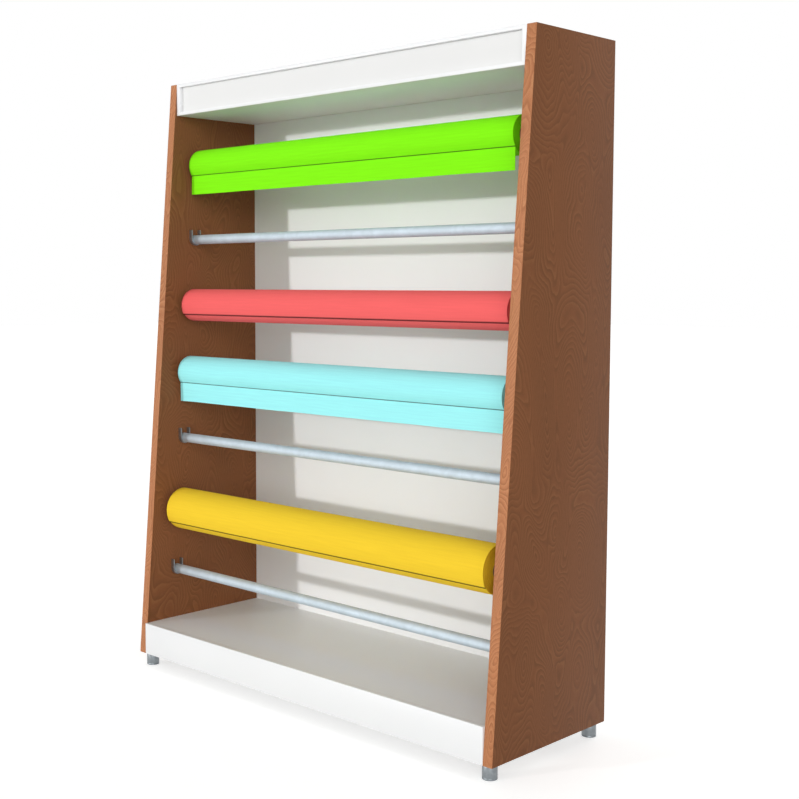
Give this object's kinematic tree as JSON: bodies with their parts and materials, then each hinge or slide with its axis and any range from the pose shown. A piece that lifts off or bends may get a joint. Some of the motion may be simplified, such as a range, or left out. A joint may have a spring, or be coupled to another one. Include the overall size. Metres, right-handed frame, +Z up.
{
  "type": "fabric roll display rack",
  "caption": "Free-standing shop rack with slanted veneered sides, a white back, base and header, and rows of round bars in open hooks that carry rolls of fabric.",
  "frame": {"origin": "on the floor at the middle of the footprint", "axes": "+Z up, -Y out of the open front, +X to the right seen from the front"},
  "size_m": [1.46, 0.5, 1.89],
  "materials": {
    "walnut_veneer": "satin veneer",
    "edge_veneer": "satin veneer",
    "white_melamine": "satin melamine facing",
    "sign_board": "matt sheet",
    "foot_steel": "brushed",
    "zinc_screw": "zinc plated",
    "zinc_strip": "zinc plated",
    "aluminium_tube": "satin anodised",
    "cardboard": "matt card",
    "green_cloth": "plain weave",
    "red_cloth": "plain weave",
    "cyan_cloth": "plain weave",
    "yellow_cloth": "plain weave"
  },
  "bodies": {
    "rack": {"left_side_panel": "walnut_veneer", "right_side_panel": "walnut_veneer", "left_front_edge_strip": "edge_veneer", "right_front_edge_strip": "edge_veneer", "back_panel": "white_melamine", "toe_board": "white_melamine", "base_shelf": "white_melamine", "header_frame": "white_melamine", "header_sign_panel": "sign_board", "header_top_board": "white_melamine", "header_bottom_board": "white_melamine", "foot_front_left": "foot_steel", "foot_front_right": "foot_steel", "foot_rear_left": "foot_steel", "foot_rear_right": "foot_steel", "back_screw_shelf_1": "zinc_screw", "back_screw_shelf_2": "zinc_screw", "back_screw_shelf_3": "zinc_screw", "back_screw_shelf_4": "zinc_screw", "back_screw_header_bottom_1": "zinc_screw", "back_screw_header_bottom_2": "zinc_screw", "back_screw_header_bottom_3": "zinc_screw", "back_screw_header_bottom_4": "zinc_screw", "back_screw_header_top_1": "zinc_screw", "back_screw_header_top_2": "zinc_screw", "back_screw_header_top_3": "zinc_screw", "back_screw_header_top_4": "zinc_screw", "row_1_hook_left": "zinc_strip", "row_1_hook_right": "zinc_strip", "row_2_hook_left": "zinc_strip", "row_2_hook_right": "zinc_strip", "row_3_hook_left": "zinc_strip", "row_3_hook_right": "zinc_strip", "row_4_hook_left": "zinc_strip", "row_4_hook_right": "zinc_strip", "row_5_hook_left": "zinc_strip", "row_5_hook_right": "zinc_strip", "row_6_hook_left": "zinc_strip", "row_6_hook_right": "zinc_strip", "row_7_hook_left": "zinc_strip", "row_7_hook_right": "zinc_strip"},
    "row_1_bar_set": {"row_1_bar": "aluminium_tube", "green_fabric_tail": "green_cloth"},
    "green_roll": {"green_fabric_roll": "green_cloth", "green_roll_core": "cardboard"},
    "row_2_bar_set": {"row_2_bar": "aluminium_tube"},
    "row_3_bar_set": {"row_3_bar": "aluminium_tube"},
    "red_roll": {"red_fabric_roll": "red_cloth", "red_roll_core": "cardboard"},
    "row_4_bar_set": {"row_4_bar": "aluminium_tube", "cyan_fabric_tail": "cyan_cloth"},
    "cyan_roll": {"cyan_fabric_roll": "cyan_cloth", "cyan_roll_core": "cardboard"},
    "row_5_bar_set": {"row_5_bar": "aluminium_tube"},
    "row_6_bar_set": {"row_6_bar": "aluminium_tube"},
    "yellow_roll": {"yellow_fabric_roll": "yellow_cloth", "yellow_roll_core": "cardboard"},
    "row_7_bar_set": {"row_7_bar": "aluminium_tube"}
  },
  "joints": [
    {"name": "row_1_lift", "type": "slide", "parent": "rack", "child": "row_1_bar_set", "axis": [0, 0, 1], "range_m": [0, 0.06]},
    {"name": "green_roll_spin", "type": "hinge", "parent": "row_1_bar_set", "child": "green_roll", "pos_m": [0, -0.01475, 1.63017], "axis": [1, 0, 0], "continuous": true},
    {"name": "row_2_lift", "type": "slide", "parent": "rack", "child": "row_2_bar_set", "axis": [0, 0, 1], "range_m": [0, 0.06]},
    {"name": "row_3_lift", "type": "slide", "parent": "rack", "child": "row_3_bar_set", "axis": [0, 0, 1], "range_m": [0, 0.06]},
    {"name": "red_roll_spin", "type": "hinge", "parent": "row_3_bar_set", "child": "red_roll", "pos_m": [0, -0.05157, 1.17609], "axis": [1, 0, 0], "continuous": true},
    {"name": "row_4_lift", "type": "slide", "parent": "rack", "child": "row_4_bar_set", "axis": [0, 0, 1], "range_m": [0, 0.06]},
    {"name": "cyan_roll_spin", "type": "hinge", "parent": "row_4_bar_set", "child": "cyan_roll", "pos_m": [0, -0.0694, 0.95615], "axis": [1, 0, 0], "continuous": true},
    {"name": "row_5_lift", "type": "slide", "parent": "rack", "child": "row_5_bar_set", "axis": [0, 0, 1], "range_m": [0, 0.06]},
    {"name": "row_6_lift", "type": "slide", "parent": "rack", "child": "row_6_bar_set", "axis": [0, 0, 1], "range_m": [0, 0.06]},
    {"name": "yellow_roll_spin", "type": "hinge", "parent": "row_6_bar_set", "child": "yellow_roll", "pos_m": [0, -0.1059, 0.50603], "axis": [1, 0, 0], "continuous": true},
    {"name": "row_7_lift", "type": "slide", "parent": "rack", "child": "row_7_bar_set", "axis": [0, 0, 1], "range_m": [0, 0.06]}
  ]
}
